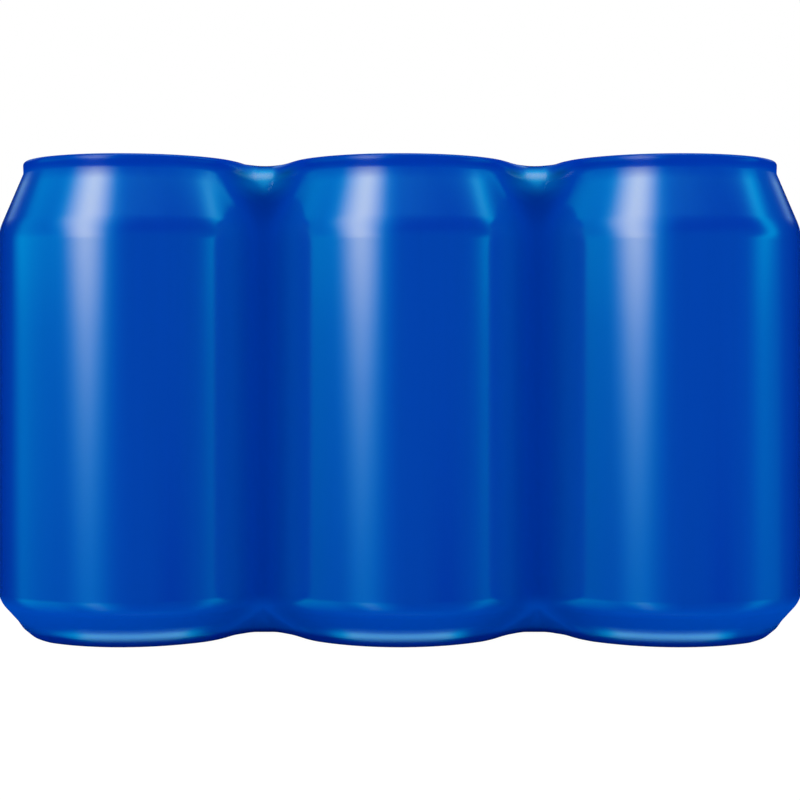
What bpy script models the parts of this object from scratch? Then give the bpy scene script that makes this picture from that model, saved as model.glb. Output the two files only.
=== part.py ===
"""A six pack of drinks cans, three by two, shut in tight opaque film.

The pack can't be seen into, so it is one solid: the outer face of its film. Around each can that face
follows the can's turned wall, from the tapered base up the straight body and the tapered neck to the rim.
Where cans stand side by side the film runs across the gap and is drawn in to a valley. Over the lids and
under the bases it is a drum skin, which sags a little where four cans meet.

The form is one function, film_distance, which is zero on the film's face. The mesh is a grid around each
can's axis. A probe is sent out from inside the pack for each of its points, and stops at the film's face.
"""

import math
from collections import namedtuple

import bmesh
import bpy
import numpy as np

MM = 0.001

# One can under its film
CAN_DIAMETER = 66.2 * MM
CAN_HEIGHT = 115.2 * MM
FILM_AT_BODY = 0.1 * MM
FILM_AT_ENDS = 0.7 * MM
RIM_RADIUS = 27.2 * MM
RIM_HEIGHT = 2.9 * MM
RIM_ROUNDING = 0.7 * MM
NECK_HEIGHT = 14.5 * MM
NECK_TOP_ROUNDING = 2.0 * MM
NECK_FOOT_ROUNDING = 15.0 * MM
BASE_HEIGHT = 9.4 * MM
BASE_ROUNDING = 7.0 * MM
HEEL_RADIUS = 28.5 * MM
HEEL_HEIGHT = 4.1 * MM
TOE_RADIUS = 27.2 * MM
TOE_HEIGHT = 2.2 * MM
HEEL_ROUNDING = 3.0 * MM
FOOT_RADIUS = 24.6 * MM
FOOT_ROUNDING = 0.5 * MM

# The drum skins at both ends
LID_DIP = 0.9 * MM
LID_EDGE = 24.8 * MM
BASE_DIP = 0.8 * MM
BASE_EDGE = 20.4 * MM
SKIN_RAMP = 1.5 * MM

# The pack
COLUMNS = 3
ROWS = 2
PITCH = CAN_DIAMETER
BODY_RADIUS = CAN_DIAMETER / 2 + FILM_AT_BODY
PACK_HEIGHT = CAN_HEIGHT + 2 * FILM_AT_ENDS

# The film between cans
VALLEY_LINE = 13.8 * MM
BODY_BLEND = 2.0 * MM
RIM_BLEND = 2.2 * MM
BRIDGE_SPAN = 5.7 * MM
SHOULDER_ROUNDING = 8.6 * MM
WEB_SPAN = 4.0 * MM
WEB_DROP = 0.95 * MM
WEB_RISE = 0.95 * MM
WEB_SAG = 3.0 * MM
SAG_REACH = 14.0 * MM

# The grid around one can
QUARTER_TURNS = 8
VALLEY_TURN = 2
VALLEY_DEPTH = 15.0 * MM
VALLEY_STEPS = 4
NEXT_BRIDGE = 0.25
WEB_STEPS = 3
BODY_STEPS = 4
LID_RINGS = (0.0, 13.0 * MM, LID_EDGE, RIM_RADIUS - RIM_ROUNDING)
BASE_RINGS = (0.0, 11.0 * MM, BASE_EDGE, BASE_EDGE + SKIN_RAMP, FOOT_RADIUS - FOOT_ROUNDING)
WALL_END_SPAN = 24.0 * MM
PROBE_START = 7.0 * MM
PROBE_REACH = 45.0 * MM
PROBE_HALVINGS = 34
WALL_FINENESS = 8
MERGE_DISTANCE = 0.01 * MM
SHARP_EDGE = math.radians(50)

FILM_BLUE = (0.0, 0.053, 0.392, 1.0)
FILM_ROUGHNESS = 0.25

Column = namedtuple("Column", "turn start heading bridge border")


def clear_scene():
    for obj in list(bpy.data.objects):
        bpy.data.objects.remove(obj)


def can_centres():
    """The cans' axes in plan."""
    return [
        ((column - (COLUMNS - 1) / 2) * PITCH, (row - (ROWS - 1) / 2) * PITCH)
        for column in range(COLUMNS)
        for row in range(ROWS)
    ]


def smooth_step(value):
    """Runs from 0 to 1 with level ends, as the value does."""
    value = np.clip(value, 0, 1)
    return value * value * (3 - 2 * value)


def rounded_corner(before, here, after, rounding, steps):
    """The points of an arc that rounds one corner of an outline."""
    back = (before - here) / np.linalg.norm(before - here)
    ahead = (after - here) / np.linalg.norm(after - here)
    half_angle = math.acos(back @ ahead) / 2
    bisector = (back + ahead) / np.linalg.norm(back + ahead)
    centre = here + bisector * rounding / math.sin(half_angle)
    spoke = here + back * rounding / math.tan(half_angle) - centre
    inward = here - centre
    sweep = math.copysign(math.pi - 2 * half_angle, spoke[0] * inward[1] - spoke[1] * inward[0])
    arc = []
    for step in range(steps + 1):
        cosine = math.cos(sweep * step / steps)
        sine = math.sin(sweep * step / steps)
        arc.append(centre + (spoke[0] * cosine - spoke[1] * sine, spoke[0] * sine + spoke[1] * cosine))
    return arc


def wall_outline(fineness):
    """The film's wall around one can, as radius and height, from the table up to the top of the rim."""
    corners = [
        (FOOT_RADIUS, 0, 0, 0),
        (TOE_RADIUS, TOE_HEIGHT, HEEL_ROUNDING, 1),
        (HEEL_RADIUS, HEEL_HEIGHT, HEEL_ROUNDING, 1),
        (BODY_RADIUS, BASE_HEIGHT, BASE_ROUNDING, 3),
        (BODY_RADIUS, PACK_HEIGHT - RIM_HEIGHT - NECK_HEIGHT, NECK_FOOT_ROUNDING, 3),
        (RIM_RADIUS, PACK_HEIGHT - RIM_HEIGHT, NECK_TOP_ROUNDING, 2),
        (RIM_RADIUS, PACK_HEIGHT, 0, 0),
    ]
    places = [np.array(corner[:2]) for corner in corners]
    outline = [places[0]]
    for index in range(1, len(corners) - 1):
        rounding, steps = corners[index][2:]
        outline += rounded_corner(*places[index - 1 : index + 2], rounding, steps * fineness)
    return np.array(outline + [places[-1]])


def side_distance(x, y, z, wall):
    """How far points lie outside the film's outline at their height, and outside the nearest can's wall."""
    radius = np.interp(z, wall[:, 1], wall[:, 0])
    drawn_in = (BODY_RADIUS - radius) / (BODY_RADIUS - RIM_RADIUS)
    blend = BODY_BLEND + (RIM_BLEND - BODY_BLEND) * drawn_in
    reach_x = (COLUMNS - 1) / 2 * PITCH + VALLEY_LINE
    reach_y = (ROWS - 1) / 2 * PITCH + VALLEY_LINE
    total = np.exp(-np.maximum(np.abs(x) - reach_x, np.abs(y) - reach_y) / blend)
    gap = np.full(np.shape(radius), np.inf)
    for can_x, can_y in can_centres():
        outside = np.hypot(x - can_x, y - can_y) - radius
        total += np.exp(-outside / blend)
        gap = np.minimum(gap, outside)
    return -blend * np.log(total), gap


def end_heights(x, y):
    """The heights of the film over the lids and of the film under the bases."""
    from_axis = np.full(np.shape(x), np.inf)
    for can_x, can_y in can_centres():
        from_axis = np.minimum(from_axis, np.hypot(x - can_x, y - can_y))
    sag = 0
    for side in (-1, 1):
        from_junction = np.hypot(x - side * PITCH / 2, y)
        sag = sag + WEB_SAG * np.exp(-((from_junction / SAG_REACH) ** 2))
    lid = LID_DIP * (1 - smooth_step((from_axis - LID_EDGE) / SKIN_RAMP))
    base = BASE_DIP * (1 - smooth_step((from_axis - BASE_EDGE) / SKIN_RAMP))
    over = smooth_step((from_axis - RIM_RADIUS + RIM_ROUNDING) / WEB_SPAN)
    under = smooth_step((from_axis - FOOT_RADIUS) / WEB_SPAN)
    top = PACK_HEIGHT - lid - over * (WEB_DROP + sag)
    bottom = base + under * (WEB_RISE + sag)
    return top, bottom


def rounded_meet(first, second, rounding):
    """Where two faces meet, the distance outside both, with their edge rounded."""
    corner = np.hypot(np.maximum(first + rounding, 0), np.maximum(second + rounding, 0))
    return corner + np.minimum(np.maximum(first, second), -rounding)


def film_distance(points, wall):
    """Negative inside the pack, zero on the film's face and positive outside it."""
    x, y, z = points.T
    side, gap = side_distance(x, y, z, wall)
    top, bottom = end_heights(x, y)
    bridge = smooth_step(gap / BRIDGE_SPAN)
    over = rounded_meet(side, z - top, RIM_ROUNDING + (SHOULDER_ROUNDING - RIM_ROUNDING) * bridge)
    return rounded_meet(over, bottom - z, FOOT_ROUNDING + (SHOULDER_ROUNDING - FOOT_ROUNDING) * bridge)


def probe_film(starts, headings, wall):
    """The points where lines that start inside the pack come out of the film."""
    inside = np.zeros(len(starts))
    outside = np.full(len(starts), PROBE_REACH)
    for _ in range(PROBE_HALVINGS):
        middle = (inside + outside) / 2
        is_out = film_distance(starts + headings * middle[:, None], wall) > 0
        outside = np.where(is_out, middle, outside)
        inside = np.where(is_out, inside, middle)
    return starts + headings * inside[:, None]


def polar(turn):
    return np.array((math.cos(turn), math.sin(turn)))


def free_column(turn, bridge=0.0):
    """A column that stands on the film over one can's own wall."""
    return Column(turn, np.zeros(2), polar(turn), bridge, None)


def inner_column(turn):
    """A column that has only a top and an underside, which end half way to the next can."""
    heading = polar(turn)
    return Column(turn, None, None, None, heading * PITCH / 2 / max(heading))


def quarter_turn(index):
    return index * math.pi / 2 / QUARTER_TURNS


def valley_columns():
    """The columns from the valley half way to the next can up to where the film meets the can's wall."""
    valley = math.atan2(VALLEY_DEPTH, PITCH / 2)
    last = quarter_turn(VALLEY_TURN + 1)
    columns = []
    for step in range(VALLEY_STEPS):
        share = step / VALLEY_STEPS
        turn = valley + (last - valley) * share
        start = np.array((PITCH / 2 * (1 - share), 0))
        rest = polar(turn) * ((1 - share) * math.hypot(PITCH / 2, VALLEY_DEPTH) + share * BODY_RADIUS)
        heading = (rest - start) / np.linalg.norm(rest - start)
        columns.append(Column(turn, start, heading, 1 - share * (1 - NEXT_BRIDGE), None))
    return columns


def quadrant_columns(beside, behind):
    """The columns of a quarter of one can's grid, with a next can on one, both or neither of its sides."""
    turns = [quarter_turn(index) for index in range(QUARTER_TURNS + 1)]
    if beside and behind:
        return [inner_column(turn) for turn in turns]
    if not beside:
        return [free_column(turn) for turn in turns]
    inner = [inner_column(turn) for turn in turns[:VALLEY_TURN]]
    free = [free_column(turn) for turn in turns[VALLEY_TURN + 2 :]]
    return inner + valley_columns() + [free_column(turns[VALLEY_TURN + 1], NEXT_BRIDGE)] + free


def edge_centre(column, radius, rounding, level, sign):
    """The place in one column that its rounded top or bottom edge turns about, in plan and in height."""
    size = rounding + (SHOULDER_ROUNDING - rounding) * column.bridge
    own = radius - rounding
    shared = VALLEY_DEPTH - SHOULDER_ROUNDING
    along = own + (shared - own) * max(column.bridge - NEXT_BRIDGE, 0) / (1 - NEXT_BRIDGE)
    return column.start + column.heading * along, level + sign * size


def cap_probes(column, rings, end, sign):
    """The probes for the top or the underside of one column, from the can's axis outwards."""
    height = PACK_HEIGHT / 2 + sign * (PACK_HEIGHT / 2 - PROBE_START)
    places = [polar(column.turn) * ring for ring in rings]
    edge = places[-1]
    places += [edge + (end - edge) * step / WEB_STEPS for step in range(1, WEB_STEPS + 1)]
    return [((*place, height), (0, 0, sign)) for place in places]


def wall_heights(wall_rows, top, bottom):
    """The heights of one column's wall points: the plain wall's, squeezed between the column's own edges."""
    free_top = PACK_HEIGHT - RIM_ROUNDING
    upper = PACK_HEIGHT - WALL_END_SPAN
    lower = WALL_END_SPAN
    raised = upper + (wall_rows - upper) * (top - upper) / (free_top - upper)
    lowered = lower - (lower - wall_rows) * (lower - bottom) / (lower - FOOT_ROUNDING)
    return np.where(wall_rows > upper, raised, np.where(wall_rows < lower, lowered, wall_rows))


def column_probes(column, wall_rows):
    """The probes for one column: those of its top, its wall and its underside."""
    if column.border is not None:
        top = cap_probes(column, LID_RINGS, column.border, 1)
        return top, [], cap_probes(column, BASE_RINGS, column.border, -1)
    top_place, top_height = edge_centre(column, RIM_RADIUS, RIM_ROUNDING, PACK_HEIGHT, -1)
    foot_place, foot_height = edge_centre(column, FOOT_RADIUS, FOOT_ROUNDING, 0, 1)
    slope = math.sqrt(0.5)
    level = (*column.heading, 0)
    upwards = (*column.heading * slope, slope)
    downwards = (*column.heading * slope, -slope)
    wall = [((*top_place, top_height), upwards), ((*top_place, top_height), level)]
    wall += [((*column.start, height), level) for height in wall_heights(wall_rows, top_height, foot_height)]
    wall += [((*foot_place, foot_height), level), ((*foot_place, foot_height), downwards)]
    top = cap_probes(column, LID_RINGS, top_place, 1)
    return top, wall, cap_probes(column, BASE_RINGS, foot_place, -1)


def plain_wall_rows():
    """The heights of the grid's rows on the wall, from the top down: the outline's and a few on the body."""
    heights = wall_outline(1)[1:-1, 1]
    gap = int(np.argmax(np.diff(heights)))
    body = np.linspace(heights[gap], heights[gap + 1], BODY_STEPS + 1)
    return np.concatenate((heights[:gap], body, heights[gap + 2 :]))[::-1]


def add_quadrant(form, columns, place, wall, wall_rows):
    """Add a quarter of one can's grid. place takes a plan point or heading, and says where it lies."""
    strips = []
    probes = []
    for column in columns:
        strip = []
        for run in column_probes(column, wall_rows):
            strip.append(range(len(probes), len(probes) + len(run)))
            probes += run
        strips.append(strip)
    starts = np.array([(*place(start[:2], True), start[2]) for start, _ in probes])
    headings = np.array([(*place(heading[:2], False), heading[2]) for _, heading in probes])
    verts = [form.verts.new(point) for point in probe_film(starts, headings, wall)]
    for (top, side, under), (next_top, next_side, next_under) in zip(strips[:-1], strips[1:]):
        runs = [(list(top), list(next_top)), (list(under), list(next_under))]
        if side and next_side:
            runs.append(([top[-1], *side, under[-1]], [next_top[-1], *next_side, next_under[-1]]))
        for run, next_run in runs:
            for i in range(len(run) - 1):
                form.faces.new([verts[j] for j in (run[i], run[i + 1], next_run[i + 1], next_run[i])])


def build_film_form():
    wall = wall_outline(WALL_FINENESS)
    wall_rows = plain_wall_rows()
    form = bmesh.new()
    for can_x, can_y in can_centres():
        for side_x in (-1, 1):
            for side_y in (-1, 1):
                beside = abs(can_x + side_x * PITCH) < COLUMNS / 2 * PITCH
                behind = abs(can_y + side_y * PITCH) < ROWS / 2 * PITCH
                turned = behind and not beside

                def place(point, is_place):
                    across, along = (point[1], point[0]) if turned else point
                    centre = (can_x, can_y) if is_place else (0, 0)
                    return centre[0] + side_x * across, centre[1] + side_y * along

                columns = quadrant_columns(beside or turned, beside and behind)
                add_quadrant(form, columns, place, wall, wall_rows)
    bmesh.ops.remove_doubles(form, verts=form.verts, dist=MERGE_DISTANCE)
    bmesh.ops.recalc_face_normals(form, faces=form.faces)
    return form


def film_material():
    film = bpy.data.materials.new("blue_film")
    film.use_nodes = True
    shader = film.node_tree.nodes["Principled BSDF"]
    shader.inputs["Base Color"].default_value = FILM_BLUE
    shader.inputs["Roughness"].default_value = FILM_ROUGHNESS
    shader.inputs["Metallic"].default_value = 0.0
    return film


def build_wrapped_pack():
    form = build_film_form()
    mesh = bpy.data.meshes.new("wrapped_pack")
    form.to_mesh(mesh)
    form.free()
    mesh.shade_smooth()
    mesh.set_sharp_from_angle(angle=SHARP_EDGE)
    mesh.materials.append(film_material())
    pack = bpy.data.objects.new("wrapped_pack", mesh)
    bpy.context.scene.collection.objects.link(pack)


def main():
    clear_scene()
    build_wrapped_pack()


main()
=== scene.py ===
"""Dresses the frame of a shrink-wrapped pack of drinks cans with its film, in a plain studio.

The film's face is one function of place, FilmForm.distance, worked out from the sizes of a can. The skin
is the frame's own surface, divided finely and laid on to that face.
"""

import math

import bmesh
import bpy
import numpy as np
from bpy.props import FloatProperty, FloatVectorProperty, IntProperty, PointerProperty
from bpy.types import Operator, Panel, PropertyGroup
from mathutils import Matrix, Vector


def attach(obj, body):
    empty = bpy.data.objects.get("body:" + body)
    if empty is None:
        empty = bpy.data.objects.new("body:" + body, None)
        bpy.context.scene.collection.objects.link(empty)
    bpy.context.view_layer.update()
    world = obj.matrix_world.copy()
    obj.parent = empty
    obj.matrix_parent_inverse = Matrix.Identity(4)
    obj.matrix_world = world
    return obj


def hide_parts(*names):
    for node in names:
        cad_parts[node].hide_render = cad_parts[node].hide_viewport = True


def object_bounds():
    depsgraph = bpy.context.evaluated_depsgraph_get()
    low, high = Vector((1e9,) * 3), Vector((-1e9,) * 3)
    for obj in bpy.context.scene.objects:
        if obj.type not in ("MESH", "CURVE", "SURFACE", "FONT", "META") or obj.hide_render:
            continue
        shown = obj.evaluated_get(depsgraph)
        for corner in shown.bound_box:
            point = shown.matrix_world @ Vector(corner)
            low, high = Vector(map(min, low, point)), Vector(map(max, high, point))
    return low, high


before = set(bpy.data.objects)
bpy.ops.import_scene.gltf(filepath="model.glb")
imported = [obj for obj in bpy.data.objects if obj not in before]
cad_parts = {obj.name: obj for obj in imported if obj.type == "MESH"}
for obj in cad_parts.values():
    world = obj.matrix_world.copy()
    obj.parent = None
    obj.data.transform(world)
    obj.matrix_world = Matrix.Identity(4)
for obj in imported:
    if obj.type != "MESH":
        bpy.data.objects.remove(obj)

bl_info = {
    "name": "Wrapped Can Pack",
    "version": (1, 0, 0),
    "blender": (4, 5, 0),
    "location": "View3D > Sidebar > Can Pack",
    "description": "Builds the film and the studio of a shrink-wrapped pack of drinks cans",
    "category": "Add Mesh",
}

MM = 0.001
DEGREE = math.pi / 180

CAD_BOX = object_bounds()
PACK_LENGTH = CAD_BOX[1][0] - CAD_BOX[0][0]
PACK_DEPTH = CAD_BOX[1][1] - CAD_BOX[0][1]
PACK_HEIGHT = CAD_BOX[1][2]

# The cans stand side by side, so the pack is one can longer than it is deep
COLUMNS = 3
ROWS = 2
PITCH = PACK_LENGTH - PACK_DEPTH
BODY_RADIUS = (PACK_DEPTH - PITCH) / 2

# One can's wall under the film
RIM_RADIUS = 27.2 * MM
RIM_HEIGHT = 2.9 * MM
RIM_ROUNDING = 0.8 * MM
RIM_WAIST = 0.08 * MM
NECK_HEIGHT = 14.5 * MM
NECK_TOP_ROUNDING = 2.0 * MM
NECK_FOOT_ROUNDING = 15.0 * MM
BASE_HEIGHT = 9.4 * MM
BASE_ROUNDING = 7.0 * MM
HEEL_RADIUS = 28.5 * MM
HEEL_HEIGHT = 4.1 * MM
TOE_RADIUS = 27.2 * MM
TOE_HEIGHT = 2.2 * MM
HEEL_ROUNDING = 3.0 * MM
FOOT_RADIUS = 24.6 * MM
FOOT_ROUNDING = 0.5 * MM
ARC_STEPS = 24

# The drum skins over the lids and under the bases
LID_EDGE = 24.8 * MM
BASE_DIP = 0.8 * MM
BASE_EDGE = 20.4 * MM
SKIN_RAMP = 1.5 * MM

# The film between cans
BODY_BLEND = 2.0 * MM
RIM_BLEND = 2.2 * MM
BRIDGE_SPAN = 5.7 * MM
SHOULDER_ROUNDING = 8.6 * MM
WEB_SPAN = 4.0 * MM
WEB_RISE = 0.95 * MM
SAG_REACH = 14.0 * MM

# Where the film shines
SPAN_GAP = 0.9 * MM
SADDLE_DEPTH = 5.4 * MM
SADDLE_FADE = 4.2 * MM
SADDLE_WIDTH = 3.8 * MM
SADDLE_TAPER = 0.82
TAPER_START = 3.4 * MM
TAPER_RUN = 3 * MM
GROOVE_START = 0.9 * MM
GROOVE_FADE = 0.8 * MM
GROOVE_END = 2.7 * MM
NECK_FADE = 1.6 * MM
GROOVE_DULLING = 0.95
BEAD_DULLING = 0.74
TOE_GLOSS_HEIGHT = 3.0 * MM
TOE_GLOSS_REACH = 0.66 * MM
SHOULDER_START = 8.2 * MM
SHOULDER_RISE = 4 * MM

# Where the painted highlight lies: a paler blue at the top of a valley that stands in for a highlight there
HIGHLIGHT_DEPTH = 5.6 * MM
HIGHLIGHT_REACH = 1.7 * MM
HIGHLIGHT_WIDTH = 4.0 * MM

# Where its painted light and shade lie: a lighter blue on a valley's sides, a darker one at its bottom and a
# paler one on the cone round each base; places and widths out across a valley, and edges by height in
# millimetres
FLANK_LIGHT_PLACE = (0.62, 0.12)
TROUGH_SHADE_PLACE = (0.4, 0.03)
WALL_FOOT = (1.5, 3)
WALL_TOP = (113, 115)
CONE_LIGHT_FOOT = (1.8, 3.2)
CONE_LIGHT_TOP = (8, 12)

# The film's faint unevenness
STREAK_SCALE = (700, 700, 12)
STREAK_BAND = (0.3, 0.7)
STREAK_TINTS = (0.985, 1.015)
CLOUD_SCALE = 60.0
CLOUD_ROUGHNESS = 0.06
CLOUD_BAND = (0.55, 0.8)
CLOUD_DULLING = 0.03
COAT_ROUGHNESS = 0.17
COAT_IOR = 1.5

# Working the skin
FLAT_ENOUGH = 0.7
MERGE_DISTANCE = 0.01 * MM
THIN_EDGE = 0.2 * MM
SETTLING_STEPS = 6
SLOPE_STEP = 0.02 * MM

# How bright the key lamp and the side lamps are, by degrees above the horizon
KEY_FADE = (
    (-58, 0.0),
    (-45, 0.17),
    (-17, 0.17),
    (-12, 0.07),
    (-8, 0.063),
    (-5.9, 0.076),
    (-3.7, 0.115),
    (-1.4, 0.165),
    (0.8, 0.22),
    (3, 0.4),
    (7, 0.52),
    (54, 0.54),
    (65, 0.0),
)
SIDE_FADE = (
    (-58, 0.0),
    (-45, 0.1),
    (-17, 0.1),
    (-12, 0.02),
    (-8.5, 0.018),
    (-5.5, 0.026),
    (-3, 0.04),
    (1, 0.045),
    (2.2, 0.066),
    (3.5, 0.13),
    (10, 0.18),
    (45, 0.22),
    (58, 0.0),
)

# The lamps' places and widths, in degrees round from the front, where the right is more
KEY_TURN = -31.8
KEY_LEAN = 8.5 / 45
KEY_WIDTH = 11.5
KEY_SPREAD = 3.2
KEY_SPREADING = (8, 40)
RIGHT_TURN = 80
RIGHT_WIDTH = 8
LEFT_START = (-118, -100)
LEFT_END = (-66, -40)
LEFT_SHARE = 0.85

# The lamps that the necks mirror are the same ones higher up, a little moved and dimmed
NECK_RISES = (3, 14)
RIGHT_NECK_TURN = 14
RIGHT_NECK_NARROWING = 2.5
RIGHT_NECK_DIMMING = 0.32
LEFT_NECK_RISES = (2, 12)
LEFT_NECK_DIMMING = 0.52

# Overhead lamps: place and width up and over from the front, place and width to the side, brightness
OVERHEAD = ((87, 20, 0, 17, 0.25), (92, 12, 30, 14, 0.13))

# Light from the floor, by degrees up from straight below, and the haze round the horizon
BELOW_EDGE = (26, 41)
BELOW_LIGHT = 0.19
HAZE_SIDES = (95, 108)
HAZE_TOP = (8, 25)
HAZE_LIGHT = 0.0165
DUSK_TURN = (40, 9)
DUSK_RISE = (-9, 3.5)

# The panels behind the pack, for the lids seen from the front
REAR_SIDES = ((125, 145), (157, 170))
REAR_ENDS = ((12, 20), (36, 50))
REAR_LIGHT = 0.06

# The lamps' colour goes from blue where they are dim to white where they are bright
RED_GAIN = 1.2
RED_START = 0.19
OVERHEAD_RED = 0.05
REAR_RED = 0.5
BLUE_GAIN = 1.3
BLUE_LOSS = 1.1

# The share of light that the coat mirrors head on, and how little red the even light has
GLOSS_SHARE = 0.04
FILL_RED = 0.1

# The floor
FLOOR_HALF_SIZE = 6.0
FLOOR_GREY = 0.9
FLOOR_GLOW = 0.7
GLOW_STRENGTH = 1.42

# The camera, level and square on to the front row
PHOTO_SIZE = 800
HORIZON_ROW = 355.5
FOCAL_PIXELS = 1886.1
SENSOR_WIDTH = 36.0
CAMERA_DISTANCE = 470 * MM
CAMERA_HEIGHT = 69 * MM
CAMERA_CLIP = 0.01


class FilmSizes(PropertyGroup):
    fineness: IntProperty(
        name="Fineness", description="How many cuts divide each edge of the frame's surface", default=3, min=1
    )
    valley_line: FloatProperty(
        name="Valley line", description="How far the film stands out from the cans' centre line in a valley",
        default=13.8 * MM, unit="LENGTH",
    )
    lid_dip: FloatProperty(
        name="Lid dip", description="How far the film lies below the rim over a lid", default=0.9 * MM,
        unit="LENGTH",
    )
    web_drop: FloatProperty(
        name="Web drop", description="How far the film dips half way between two rims", default=0.95 * MM,
        unit="LENGTH",
    )
    web_sag: FloatProperty(
        name="Web sag", description="How much further it dips where four cans meet", default=3.0 * MM,
        unit="LENGTH",
    )


class FilmFinish(PropertyGroup):
    colour: FloatVectorProperty(
        name="Colour", description="The film's blue on a can", subtype="COLOR", size=3,
        default=(0.0, 0.0248, 0.297),
    )
    # Painted light: a lighter blue on the sides of a valley, against the shade that falls there
    flank_light: FloatVectorProperty(
        name="Flank colour", description="Its blue at the sides of a valley", subtype="COLOR", size=3,
        default=(0.0, 0.05, 0.33),
    )
    # Painted shade: a darker blue at the bottom of a valley, where shade falls between the cans
    trough_shade: FloatVectorProperty(
        name="Trough colour", description="Its blue at the bottom of a valley", subtype="COLOR", size=3,
        default=(0.0, 0.0165, 0.165),
    )
    # Painted highlight: a paler blue at the top of a valley in place of a highlight, not a paler film
    painted_highlight: FloatVectorProperty(
        name="Saddle colour", description="Its blue at the top of a valley, where it is stretched and paler",
        subtype="COLOR", size=3, default=(0.0, 0.085, 0.32),
    )
    # Painted light: a paler blue on the cone round each base that lifts the floor's shade there, not a paler
    # film
    base: FloatVectorProperty(
        name="Base colour", description="Its blue on the cone round a base, where it is stretched and paler",
        subtype="COLOR", size=3, default=(0.0, 0.057, 0.39),
    )
    roughness: FloatProperty(
        name="Roughness", description="How soft the film is under its gloss", default=0.45, subtype="FACTOR"
    )


class StudioLight(PropertyGroup):
    fill: FloatProperty(name="Fill", description="The even light from all round", default=1.5)


def smooth_step(value):
    """Runs from 0 to 1 with level ends, as the value does."""
    value = np.clip(value, 0, 1)
    return value * value * (3 - 2 * value)


def can_centres():
    """The cans' axes in plan."""
    return [
        ((column - (COLUMNS - 1) / 2) * PITCH, (row - (ROWS - 1) / 2) * PITCH)
        for column in range(COLUMNS)
        for row in range(ROWS)
    ]


def rounded_corner(before, here, after, rounding):
    """The points of an arc that rounds one corner of an outline."""
    back = (before - here) / np.linalg.norm(before - here)
    ahead = (after - here) / np.linalg.norm(after - here)
    half_angle = math.acos(back @ ahead) / 2
    bisector = (back + ahead) / np.linalg.norm(back + ahead)
    centre = here + bisector * rounding / math.sin(half_angle)
    spoke = here + back * rounding / math.tan(half_angle) - centre
    inward = here - centre
    sweep = math.copysign(math.pi - 2 * half_angle, spoke[0] * inward[1] - spoke[1] * inward[0])
    turns = [sweep * step / ARC_STEPS for step in range(ARC_STEPS + 1)]
    return [
        centre + spoke * math.cos(turn) + np.array((-spoke[1], spoke[0])) * math.sin(turn) for turn in turns
    ]


def wall_outline():
    """The film's wall around one can, as radius and height, from the table up to the top of the rim."""
    corners = [
        (FOOT_RADIUS, 0, 0),
        (TOE_RADIUS, TOE_HEIGHT, HEEL_ROUNDING),
        (HEEL_RADIUS, HEEL_HEIGHT, HEEL_ROUNDING),
        (BODY_RADIUS, BASE_HEIGHT, BASE_ROUNDING),
        (BODY_RADIUS, PACK_HEIGHT - RIM_HEIGHT - NECK_HEIGHT, NECK_FOOT_ROUNDING),
        (RIM_RADIUS - RIM_WAIST, PACK_HEIGHT - RIM_HEIGHT, NECK_TOP_ROUNDING),
        (RIM_RADIUS, PACK_HEIGHT - RIM_ROUNDING, RIM_ROUNDING),
        (RIM_RADIUS, PACK_HEIGHT, 0),
    ]
    places = [np.array(corner[:2]) for corner in corners]
    outline = [places[0]]
    for index in range(1, len(corners) - 1):
        outline += rounded_corner(*places[index - 1 : index + 2], corners[index][2])
    return np.array(outline + [places[-1]])


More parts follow.
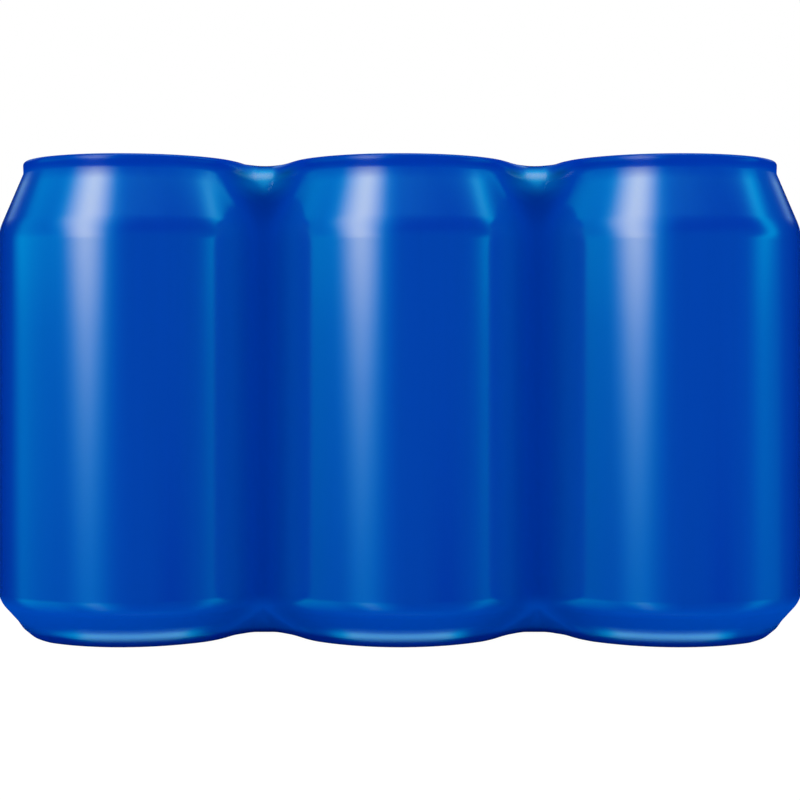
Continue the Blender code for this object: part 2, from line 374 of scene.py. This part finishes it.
class FilmForm:
    """The face of the film, as a function of place."""

    def __init__(self, sizes):
        self.sizes = sizes
        self.wall = wall_outline()

    def side_distance(self, x, y, z):
        """How far points lie outside the film's outline at their height, and outside the nearest can."""
        radius = np.interp(z, self.wall[:, 1], self.wall[:, 0])
        drawn_in = (BODY_RADIUS - radius) / (BODY_RADIUS - RIM_RADIUS)
        blend = BODY_BLEND + (RIM_BLEND - BODY_BLEND) * drawn_in
        reach_x = (COLUMNS - 1) / 2 * PITCH + self.sizes.valley_line
        reach_y = (ROWS - 1) / 2 * PITCH + self.sizes.valley_line
        total = np.exp(-np.maximum(np.abs(x) - reach_x, np.abs(y) - reach_y) / blend)
        gap = np.full(np.shape(radius), np.inf)
        for can_x, can_y in can_centres():
            outside = np.hypot(x - can_x, y - can_y) - radius
            total += np.exp(-outside / blend)
            gap = np.minimum(gap, outside)
        return -blend * np.log(total), gap

    def end_heights(self, x, y):
        """The heights of the film over the lids and of the film under the bases."""
        from_axis = np.full(np.shape(x), np.inf)
        for can_x, can_y in can_centres():
            from_axis = np.minimum(from_axis, np.hypot(x - can_x, y - can_y))
        sag = 0
        for side in (-1, 1):
            from_junction = np.hypot(x - side * PITCH / 2, y)
            sag = sag + self.sizes.web_sag * np.exp(-((from_junction / SAG_REACH) ** 2))
        lid = self.sizes.lid_dip * (1 - smooth_step((from_axis - LID_EDGE) / SKIN_RAMP))
        base = BASE_DIP * (1 - smooth_step((from_axis - BASE_EDGE) / SKIN_RAMP))
        over = smooth_step((from_axis - RIM_RADIUS + RIM_ROUNDING) / WEB_SPAN)
        under = smooth_step((from_axis - FOOT_RADIUS) / WEB_SPAN)
        top = PACK_HEIGHT - lid - over * (self.sizes.web_drop + sag)
        return top, base + under * (WEB_RISE + sag)

    def distance(self, points):
        """Negative inside the pack, zero on the film's face and positive outside it."""
        x, y, z = points.T
        side, gap = self.side_distance(x, y, z)
        top, bottom = self.end_heights(x, y)
        bridge = smooth_step(gap / BRIDGE_SPAN)
        over = rounded_meet(side, z - top, RIM_ROUNDING + (SHOULDER_ROUNDING - RIM_ROUNDING) * bridge)
        return rounded_meet(over, bottom - z, FOOT_ROUNDING + (SHOULDER_ROUNDING - FOOT_ROUNDING) * bridge)

    def slope(self, points):
        """Which way, and how fast, the distance grows at each point."""
        rises = [
            self.distance(points + step) - self.distance(points - step) for step in np.eye(3) * SLOPE_STEP
        ]
        return np.stack(rises, axis=1) / (2 * SLOPE_STEP)

    def settle(self, points):
        """Moves points straight on to the film's face."""
        for _ in range(SETTLING_STEPS):
            slope = self.slope(points)
            away = self.distance(points) / np.sum(slope * slope, axis=1)
            points = points - slope * away[:, None]
        return points

    def spanning(self, points):
        """Where the film spans from can to can, 1, and where it lies on a can, 0."""
        x, y, z = points.T
        return smooth_step(self.side_distance(x, y, np.clip(z, 0, PACK_HEIGHT))[1] / SPAN_GAP)

    def outward(self, points):
        """How far out points are between the cans' axes, 0, and the pack's sides, 1."""
        reach_x = (COLUMNS - 1) / 2 * PITCH
        reach_y = (ROWS - 1) / 2 * PITCH
        return np.maximum(np.abs(points[:, 0]) - reach_x, np.abs(points[:, 1]) - reach_y) / BODY_RADIUS

    def beside(self, points):
        """How far points lie to the side of the nearest valley's middle."""
        x, y = points[:, 0], points[:, 1]
        return np.minimum(
            np.abs(np.abs(x) - PITCH / 2) + np.where(np.abs(y) < PITCH / 2, PITCH, 0),
            np.abs(y) + np.where(np.abs(x) < PITCH, PITCH, 0),
        )

    def painted_highlight(self, points):
        """How near points are to the place where a valley runs out into the top, from 0 to 1: where the
        painted highlight lies.
        """
        off = (PACK_HEIGHT - points[:, 2] - HIGHLIGHT_DEPTH) / HIGHLIGHT_REACH
        return np.exp(-(off**2 + (self.beside(points) / HIGHLIGHT_WIDTH) ** 2) / 2)

    def gloss(self, points):
        """How much of its full gloss the film has: all on a can's wall, little where it hangs free."""
        z = points[:, 2]
        below_top = PACK_HEIGHT - z
        taut = 1 - smooth_step((below_top - SADDLE_DEPTH) / SADDLE_FADE)
        width = SADDLE_WIDTH * (1 - SADDLE_TAPER * smooth_step((below_top - TAPER_START) / TAPER_RUN))
        taut = taut * np.exp(-((self.beside(points) / width) ** 2) / 2)
        on_can = 1 - self.spanning(points)
        bead = 1 - BEAD_DULLING * (1 - smooth_step((below_top - GROOVE_START) / GROOVE_FADE))
        groove = smooth_step((below_top - GROOVE_START) / GROOVE_FADE)
        groove = groove * (1 - smooth_step((below_top - GROOVE_END) / NECK_FADE))
        toe = np.exp(-(((z - TOE_GLOSS_HEIGHT) / TOE_GLOSS_REACH) ** 2) / 2)
        wall = smooth_step((z - SHOULDER_START) / SHOULDER_RISE)
        return np.maximum(taut, (toe + wall) * on_can * bead * (1 - GROOVE_DULLING * groove))


def rounded_meet(first, second, rounding):
    """Where two faces meet, the distance outside both, with their edge rounded."""
    corner = np.hypot(np.maximum(first + rounding, 0), np.maximum(second + rounding, 0))
    return corner + np.minimum(np.maximum(first, second), -rounding)


class Number:
    """A number in a shader. Sums written with it add the Math nodes that work them out."""

    def __init__(self, board, socket):
        self.board = board
        self.socket = socket

    def math(self, operation, *values):
        values = dict(enumerate((self, *values)))
        return self.board.number("ShaderNodeMath", {"operation": operation}, values)

    def __add__(self, other):
        return self.math("ADD", other)

    def __sub__(self, other):
        return self.math("SUBTRACT", other)

    def __rsub__(self, other):
        return self * -1 + other

    def __mul__(self, other):
        return self.math("MULTIPLY", other)

    def __truediv__(self, other):
        return self.math("DIVIDE", other)

    __radd__ = __add__
    __rmul__ = __mul__

    def bell(self, centre, width):
        """A bell curve, 1 at the centre, that many units wide from there to its steepest place."""
        off = (self - centre) / width
        return (off * off * -0.5).math("EXPONENT")

    def step(self, start, end):
        """Runs smoothly from 0 at the start to 1 at the end."""
        values = {"Value": self, "From Min": start, "From Max": end}
        return self.board.number("ShaderNodeMapRange", {"interpolation_type": "SMOOTHSTEP"}, values)


class Board:
    """A node tree that is built from nothing."""

    def __init__(self, tree):
        self.tree = tree
        tree.nodes.clear()

    def node(self, kind, settings=None, values=None):
        """Adds a node: its settings first, then what its sockets hold or are linked to."""
        node = self.tree.nodes.new(kind)
        for name, setting in (settings or {}).items():
            if name == "stops":
                set_stops(node.color_ramp, setting)
            else:
                setattr(node, name, setting)
        for name, value in (values or {}).items():
            self.fill(node.inputs[name], value)
        return node

    def fill(self, socket, value):
        """Links a socket to a number or another socket, or gives it a plain value."""
        if isinstance(value, Number):
            value = value.socket
        if isinstance(value, bpy.types.NodeSocket):
            self.tree.links.new(value, socket)
        else:
            socket.default_value = value

    def number(self, kind, settings=None, values=None, output=0):
        return Number(self, self.node(kind, settings, values).outputs[output])

    def mix(self, factor, first, second):
        """A colour between two."""
        node = self.node("ShaderNodeMix", {"data_type": "RGBA"})
        for name, value in {"Factor": factor, "A": first, "B": second}.items():
            self.fill(next(socket for socket in node.inputs if socket.name == name and socket.enabled), value)
        return next(socket for socket in node.outputs if socket.enabled)


def set_stops(ramp, stops):
    """Gives a ramp its stops, each a place and a grey."""
    while len(ramp.elements) > 1:
        ramp.elements.remove(ramp.elements[-1])
    for index, (place, grey) in enumerate(stops):
        element = ramp.elements[0] if index == 0 else ramp.elements.new(place)
        element.position = place
        element.color = (grey, grey, grey, 1)


def finished_piece(name, form, material):
    """Makes a shaped bmesh a smooth object that rides on the pack."""
    mesh = bpy.data.meshes.new(name)
    form.to_mesh(mesh)
    form.free()
    mesh.shade_smooth()
    mesh.materials.append(material)
    piece = bpy.data.objects.new(name, mesh)
    bpy.context.scene.collection.objects.link(piece)
    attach(piece, "root")
    return piece


def film_material():
    """Glossy blue polyethylene, drawn a little streaky in shrinking, with painted light and shade in its
    valleys and round its bases and a painted highlight at the top of each valley.
    """
    finish = bpy.context.scene.can_pack_finish
    material = bpy.data.materials.new("blue_film")
    material.use_nodes = True
    board = Board(material.node_tree)
    place = board.node("ShaderNodeTexCoord").outputs["Object"]
    drawn = board.node("ShaderNodeMapping", {}, {"Vector": place, "Scale": STREAK_SCALE}).outputs[0]
    streaks = board.number("ShaderNodeTexNoise", {}, {"Vector": drawn, "Scale": 1.0, "Detail": 3.0})
    cloud = board.number("ShaderNodeTexNoise", {}, {"Vector": place, "Scale": CLOUD_SCALE, "Detail": 4.0})
    gloss = board.number("ShaderNodeAttribute", {"attribute_name": "gloss"}, {}, "Fac")
    outward = board.number("ShaderNodeAttribute", {"attribute_name": "outward"}, {}, "Fac")
    painted_highlight = board.number("ShaderNodeAttribute", {"attribute_name": "painted_highlight"}, {}, "Fac")
    darker, lighter = (tinted(finish.colour, tint) for tint in STREAK_TINTS)
    on_can = board.mix(streaks.step(*STREAK_BAND), darker, lighter)
    height = Number(board, board.node("ShaderNodeSeparateXYZ", {}, {"Vector": place}).outputs["Z"]) / MM
    # Painted light: the cone round each base is made paler, against the floor's shade there
    cone = height.step(*CONE_LIGHT_FOOT) * (1 - height.step(*CONE_LIGHT_TOP))
    wall = height.step(*WALL_FOOT) * (1 - height.step(*WALL_TOP))
    # Painted light on the sides of a valley and painted shade at its bottom, then a painted highlight at its
    # top
    film = board.mix(outward.bell(*FLANK_LIGHT_PLACE) * wall, on_can, tinted(finish.flank_light, 1))
    film = board.mix(outward.bell(*TROUGH_SHADE_PLACE) * wall, film, tinted(finish.trough_shade, 1))
    film = board.mix(painted_highlight, film, tinted(finish.painted_highlight, 1))
    film = board.mix(cone, film, tinted(finish.base, 1))
    shader = board.node(
        "ShaderNodeBsdfPrincipled",
        {},
        {
            "Base Color": film,
            "Roughness": (cloud - 0.5) * CLOUD_ROUGHNESS + finish.roughness,
            "Specular IOR Level": 0.0,
            "Coat Weight": gloss * (1 - cloud.step(*CLOUD_BAND) * CLOUD_DULLING),
            "Coat Roughness": COAT_ROUGHNESS,
            "Coat IOR": COAT_IOR,
        },
    )
    board.node("ShaderNodeOutputMaterial", {}, {"Surface": shader.outputs[0]})
    return material


def tinted(colour, amount):
    """A colour made a little lighter or darker, ready for a socket."""
    return (*(part * amount for part in colour), 1)


class CANPACK_OT_film_skin(Operator):
    """Lay the film's skin over the cans"""

    bl_idname = "can_pack.film_skin"
    bl_label = "Film skin"

    def execute(self, context):
        sizes = context.scene.can_pack_film
        film = FilmForm(sizes)
        form = bmesh.new()
        form.from_mesh(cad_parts["wrapped_pack"].data)
        bmesh.ops.remove_doubles(form, verts=form.verts, dist=MERGE_DISTANCE)
        bmesh.ops.dissolve_degenerate(form, dist=THIN_EDGE, edges=form.edges)
        bmesh.ops.join_triangles(
            form, faces=form.faces, angle_face_threshold=FLAT_ENOUGH, angle_shape_threshold=math.pi
        )
        bmesh.ops.connect_verts_concave(form, faces=form.faces)
        bmesh.ops.subdivide_edges(form, edges=form.edges, cuts=sizes.fineness, use_grid_fill=True)
        points = film.settle(np.array([vert.co for vert in form.verts]))
        for vert, point in zip(form.verts, points):
            vert.co = point
        skin = finished_piece("film_skin", form, film_material())
        points = np.array([vert.co for vert in skin.data.vertices], float)
        measures = {"gloss": film.gloss, "outward": film.outward, "painted_highlight": film.painted_highlight}
        for name, measure in measures.items():
            skin.data.attributes.new(name, "FLOAT", "POINT").data.foreach_set("value", measure(points))
        slopes = film.slope(points)
        lengths = np.linalg.norm(slopes, axis=1)[:, None]
        skin.data.normals_split_custom_set_from_vertices(slopes / lengths)
        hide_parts("wrapped_pack")
        return {"FINISHED"}


def faded(board, rise, stops):
    """How bright a lamp is at each height, from its stops in degrees above the horizon."""
    stops = [((place + 90) / 180, grey) for place, grey in stops]
    return board.number("ShaderNodeValToRGB", {"stops": stops}, {"Fac": (rise + 90) / 180})


def studio_sky(light):
    """White to the camera, even light for the film's colour, and soft lamps for its gloss."""
    world = bpy.data.worlds.new("studio")
    world.use_nodes = True
    world.cycles.sampling_method = "NONE"
    bpy.context.scene.world = world
    board = Board(world.node_tree)
    heading = board.node("ShaderNodeTexCoord").outputs["Generated"]
    axes = board.node("ShaderNodeSeparateXYZ", {}, {"Vector": heading})
    x, y, z = (Number(board, axes.outputs[axis]) for axis in "XYZ")
    turn = x.math("ARCTAN2", y * -1) / DEGREE
    rise = z.math("ARCSINE") / DEGREE
    over = z.math("ARCTAN2", y * -1) / DEGREE
    aside = x.math("ARCSINE") / DEGREE

    key_fade = faded(board, rise, KEY_FADE)
    side_fade = faded(board, rise, SIDE_FADE)
    on_neck = rise.step(*NECK_RISES)
    key_width = rise.step(*KEY_SPREADING) * KEY_SPREAD + KEY_WIDTH
    key = turn.bell(KEY_TURN - rise * KEY_LEAN, key_width) * key_fade
    right = turn.bell(on_neck * RIGHT_NECK_TURN + RIGHT_TURN, RIGHT_WIDTH - on_neck * RIGHT_NECK_NARROWING)
    right = right * side_fade * (1 - on_neck * RIGHT_NECK_DIMMING)
    left = turn.step(*LEFT_START) * (1 - turn.step(*LEFT_END)) * side_fade
    left = left * (LEFT_SHARE - rise.step(*LEFT_NECK_RISES) * LEFT_NECK_DIMMING)
    above = sum(
        over.bell(up, up_width) * aside.bell(side, side_width) * brightness
        for up, up_width, side, side_width, brightness in OVERHEAD
    )
    below = (1 - (rise + 90).step(*BELOW_EDGE)) * BELOW_LIGHT

    round_back = turn.math("ABSOLUTE")
    dusk = turn.bell(*DUSK_TURN) * rise.bell(*DUSK_RISE)
    haze = (1 - dusk) * (1 - round_back.step(*HAZE_SIDES)) * (1 - rise.step(*HAZE_TOP)) * HAZE_LIGHT
    rear = round_back.step(*REAR_SIDES[0]) * (1 - round_back.step(*REAR_SIDES[1]))
    rear = rear * rise.step(*REAR_ENDS[0]) * (1 - rise.step(*REAR_ENDS[1])) * REAR_LIGHT

    amount = key + right + left + above + below + haze + rear
    red = (amount * RED_GAIN - RED_START).math("MAXIMUM", 0.0) + above * OVERHEAD_RED + rear * REAR_RED
    blue = amount * (BLUE_GAIN - amount * BLUE_LOSS)
    lamps = board.node("ShaderNodeCombineColor", {}, {"Red": red, "Green": amount, "Blue": blue})
    rays = board.node("ShaderNodeLightPath")
    seen = Number(board, rays.outputs["Is Camera Ray"])
    bounces = Number(board, rays.outputs["Glossy Depth"])
    gloss = Number(board, rays.outputs["Is Glossy Ray"]) * bounces.math("LESS_THAN", 1.5)
    shown = board.mix(gloss, (light.fill * FILL_RED, light.fill, light.fill, 1), lamps.outputs[0])
    strength = 1 + gloss * (1 / GLOSS_SHARE - 1)
    shown = board.mix(seen, shown, (1, 1, 1, 1))
    surface = board.node("ShaderNodeBackground", {}, {"Color": shown, "Strength": strength})
    board.node("ShaderNodeOutputWorld", {}, {"Surface": surface.outputs[0]})


class CANPACK_OT_studio(Operator):
    """Set up the pale floor, the soft light and the camera"""

    bl_idname = "can_pack.studio"
    bl_label = "Studio"

    def execute(self, context):
        light = context.scene.can_pack_light
        form = bmesh.new()
        bmesh.ops.create_grid(form, x_segments=1, y_segments=1, size=FLOOR_HALF_SIZE)
        mesh = bpy.data.meshes.new("floor")
        form.to_mesh(mesh)
        form.free()
        material = bpy.data.materials.new("pale_floor")
        material.use_nodes = True
        board = Board(material.node_tree)
        # The even light has little red, so a floor that gives back little else looks grey in it
        grey = tinted((1, 1, 1), FLOOR_GREY)
        neutral = tinted((1, FILL_RED, FILL_RED), FLOOR_GREY)
        paint = board.node("ShaderNodeBsdfDiffuse", {}, {"Color": grey})
        shade = board.node("ShaderNodeBsdfDiffuse", {}, {"Color": neutral})
        glow = board.node("ShaderNodeEmission", {}, {"Color": (1, 1, 1, 1), "Strength": GLOW_STRENGTH})
        shaders = {0: FLOOR_GLOW, 1: shade.outputs[0], 2: glow.outputs[0]}
        white = board.node("ShaderNodeMixShader", {}, shaders)
        seen = board.node("ShaderNodeLightPath").outputs["Is Camera Ray"]
        shader = board.node("ShaderNodeMixShader", {}, {0: seen, 1: paint.outputs[0], 2: white.outputs[0]})
        board.node("ShaderNodeOutputMaterial", {}, {"Surface": shader.outputs[0]})
        mesh.materials.append(material)
        floor = bpy.data.objects.new("floor", mesh)
        context.scene.collection.objects.link(floor)
        floor.visible_glossy = False
        studio_sky(light)
        camera = bpy.data.cameras.new("camera")
        camera.sensor_width = SENSOR_WIDTH
        camera.lens = FOCAL_PIXELS / PHOTO_SIZE * SENSOR_WIDTH
        camera.shift_y = (HORIZON_ROW - PHOTO_SIZE / 2) / PHOTO_SIZE
        camera.clip_start = CAMERA_CLIP
        view = bpy.data.objects.new("camera", camera)
        view.location = (0, -PITCH / 2 - CAMERA_DISTANCE, CAMERA_HEIGHT)
        view.rotation_euler = (math.pi / 2, 0, 0)
        context.scene.collection.objects.link(view)
        context.scene.camera = view
        context.scene.view_settings.view_transform = "Standard"
        return {"FINISHED"}


class CANPACK_PT_parts(Panel):
    """The steps that dress the pack"""

    bl_label = "Can Pack"
    bl_space_type = "VIEW_3D"
    bl_region_type = "UI"
    bl_category = "Can Pack"

    def draw(self, context):
        for operator in OPERATORS:
            self.layout.operator(operator.bl_idname)


OPERATORS = (CANPACK_OT_film_skin, CANPACK_OT_studio)
GROUPS = {"can_pack_film": FilmSizes, "can_pack_finish": FilmFinish, "can_pack_light": StudioLight}


def register():
    for name, group in GROUPS.items():
        bpy.utils.register_class(group)
        setattr(bpy.types.Scene, name, PointerProperty(type=group))
    for operator in OPERATORS:
        bpy.utils.register_class(operator)
    bpy.utils.register_class(CANPACK_PT_parts)


def unregister():
    bpy.utils.unregister_class(CANPACK_PT_parts)
    for operator in reversed(OPERATORS):
        bpy.utils.unregister_class(operator)
    for name, group in GROUPS.items():
        delattr(bpy.types.Scene, name)
        bpy.utils.unregister_class(group)


def main():
    register()
    bpy.ops.can_pack.film_skin()
    bpy.ops.can_pack.studio()


if __name__ == "__main__":
    main()
